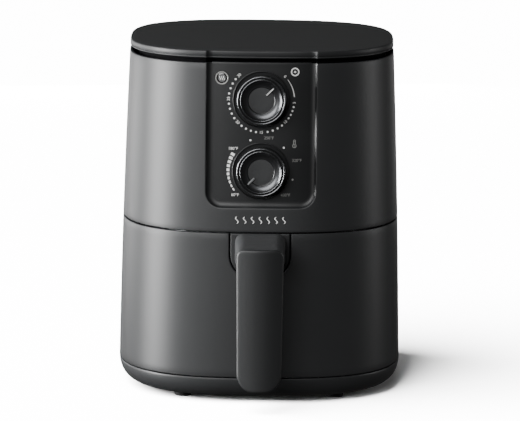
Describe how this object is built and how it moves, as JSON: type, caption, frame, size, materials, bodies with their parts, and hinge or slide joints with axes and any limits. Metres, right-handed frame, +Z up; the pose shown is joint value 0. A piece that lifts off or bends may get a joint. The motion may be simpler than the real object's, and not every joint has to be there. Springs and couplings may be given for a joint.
{
  "type": "air fryer",
  "caption": "Countertop air fryer with a pull-out drawer, a vertical front handle, two rotary dials on a recessed panel and a flat overhanging cover.",
  "frame": {"origin": "bottom centre of the whole object's box, on the surface that the feet stand on; the casing's own centre line is 19.75 mm behind it, because the handle reaches forward", "axes": "+Z up, -Y the front with the drawer's handle and the dials, +X to the right of someone facing the front"},
  "size_m": [0.222, 0.2804, 0.2717],
  "materials": {
    "casing_plastic": "moulded polypropylene, fine matte texture, charcoal",
    "cover_plastic": "moulded plastic, matte, near-black",
    "panel_plastic": "moulded plastic, satin, black, with printed pale grey marks",
    "knob_plastic": "moulded plastic, satin to semi-gloss, black",
    "handle_plastic": "moulded plastic, soft satin, charcoal",
    "inner_plastic": "heat-resistant moulded plastic, black",
    "lens_plastic": "smoked translucent plastic",
    "foot_rubber": "black rubber",
    "bumper_silicone": "grey silicone",
    "nonstick_steel": "sheet steel with a dark non-stick coat",
    "aluminised_steel": "aluminised sheet steel",
    "sheathed_heater": "heat-darkened stainless steel sheath",
    "turned_steel": "bright plated steel",
    "laminated_iron": "stacked electrical steel",
    "cast_aluminium": "pressed aluminium",
    "copper_winding": "enamelled copper winding",
    "ceramic": "unglazed ceramic",
    "nylon": "natural nylon"
  },
  "bodies": {
    "casing": {"top_cover": "cover_plastic", "top_collar": "inner_plastic", "outer_housing": "casing_plastic", "base_pan": "casing_plastic", "foot_front_left": "foot_rubber", "foot_front_right": "foot_rubber", "foot_rear_left": "foot_rubber", "foot_rear_right": "foot_rubber", "base_screw_front_left": "turned_steel", "base_screw_front_right": "turned_steel", "base_screw_rear_left": "turned_steel", "base_screw_rear_right": "turned_steel", "drawer_bay": "inner_plastic", "bay_ceiling": "inner_plastic", "switch_body": "nylon", "rear_grille": "inner_plastic", "exhaust_duct": "aluminised_steel", "cord_gland": "inner_plastic", "terminal_block": "nylon", "control_panel": "panel_plastic", "indicator_lens": "lens_plastic", "pilot_lamp": "lens_plastic", "control_bracket": "aluminised_steel", "timer_body": "nylon", "timer_bell": "turned_steel", "thermostat_body": "nylon", "thermostat_sensor": "turned_steel", "heat_chamber": "aluminised_steel", "heat_shield": "aluminised_steel", "heating_element": "sheathed_heater", "element_bush_outer": "ceramic", "element_bush_inner": "ceramic", "element_guard": "turned_steel", "thermal_fuse": "ceramic", "motor_bracket": "aluminised_steel", "motor_stator": "laminated_iron", "motor_coil": "copper_winding"},
    "drawer": {"drawer_front": "casing_plastic", "handle_mount": "handle_plastic", "handle_shell": "handle_plastic", "handle_cover": "handle_plastic", "handle_screw_left": "turned_steel", "handle_screw_right": "turned_steel", "drawer_pan": "nonstick_steel", "pan_screw_left": "turned_steel", "pan_screw_right": "turned_steel"},
    "tray": {"crisper_tray": "nonstick_steel", "tray_bumper_left": "bumper_silicone", "tray_bumper_right": "bumper_silicone", "tray_bumper_front": "bumper_silicone", "tray_bumper_rear": "bumper_silicone"},
    "timer_dial": {"timer_knob": "knob_plastic", "timer_shaft": "turned_steel"},
    "temperature_dial": {"temperature_knob": "knob_plastic", "temperature_shaft": "turned_steel"},
    "fan_rotor": {"convection_fan": "cast_aluminium", "cooling_fan": "aluminised_steel", "motor_rotor": "laminated_iron", "motor_shaft": "turned_steel"},
    "plunger": {"switch_plunger": "nylon"}
  },
  "joints": [
    {"name": "drawer_slide", "type": "slide", "parent": "casing", "child": "drawer", "axis": [0, -1, 0], "range_m": [0, 0.2]},
    {"name": "tray_lift", "type": "slide", "parent": "drawer", "child": "tray", "axis": [0, 0, 1], "range_m": [0, 0.09]},
    {"name": "timer_turn", "type": "hinge", "parent": "casing", "child": "timer_dial", "pos_m": [0, -0.09006, 0.23463], "axis": [0, 0.9992, -0.0406], "range_deg": [0, 272]},
    {"name": "temperature_turn", "type": "hinge", "parent": "casing", "child": "temperature_dial", "pos_m": [0, -0.09228, 0.17977], "axis": [0, 0.9992, -0.0406], "range_deg": [0, 268]},
    {"name": "fan_spin", "type": "hinge", "parent": "casing", "child": "fan_rotor", "pos_m": [0, 0.01975, 0.2], "axis": [0, 0, 1], "continuous": true},
    {"name": "plunger_travel", "type": "slide", "parent": "casing", "child": "plunger", "axis": [0, 0, 1], "range_m": [0, 0.0025], "stiffness_N_per_m": 50}
  ]
}
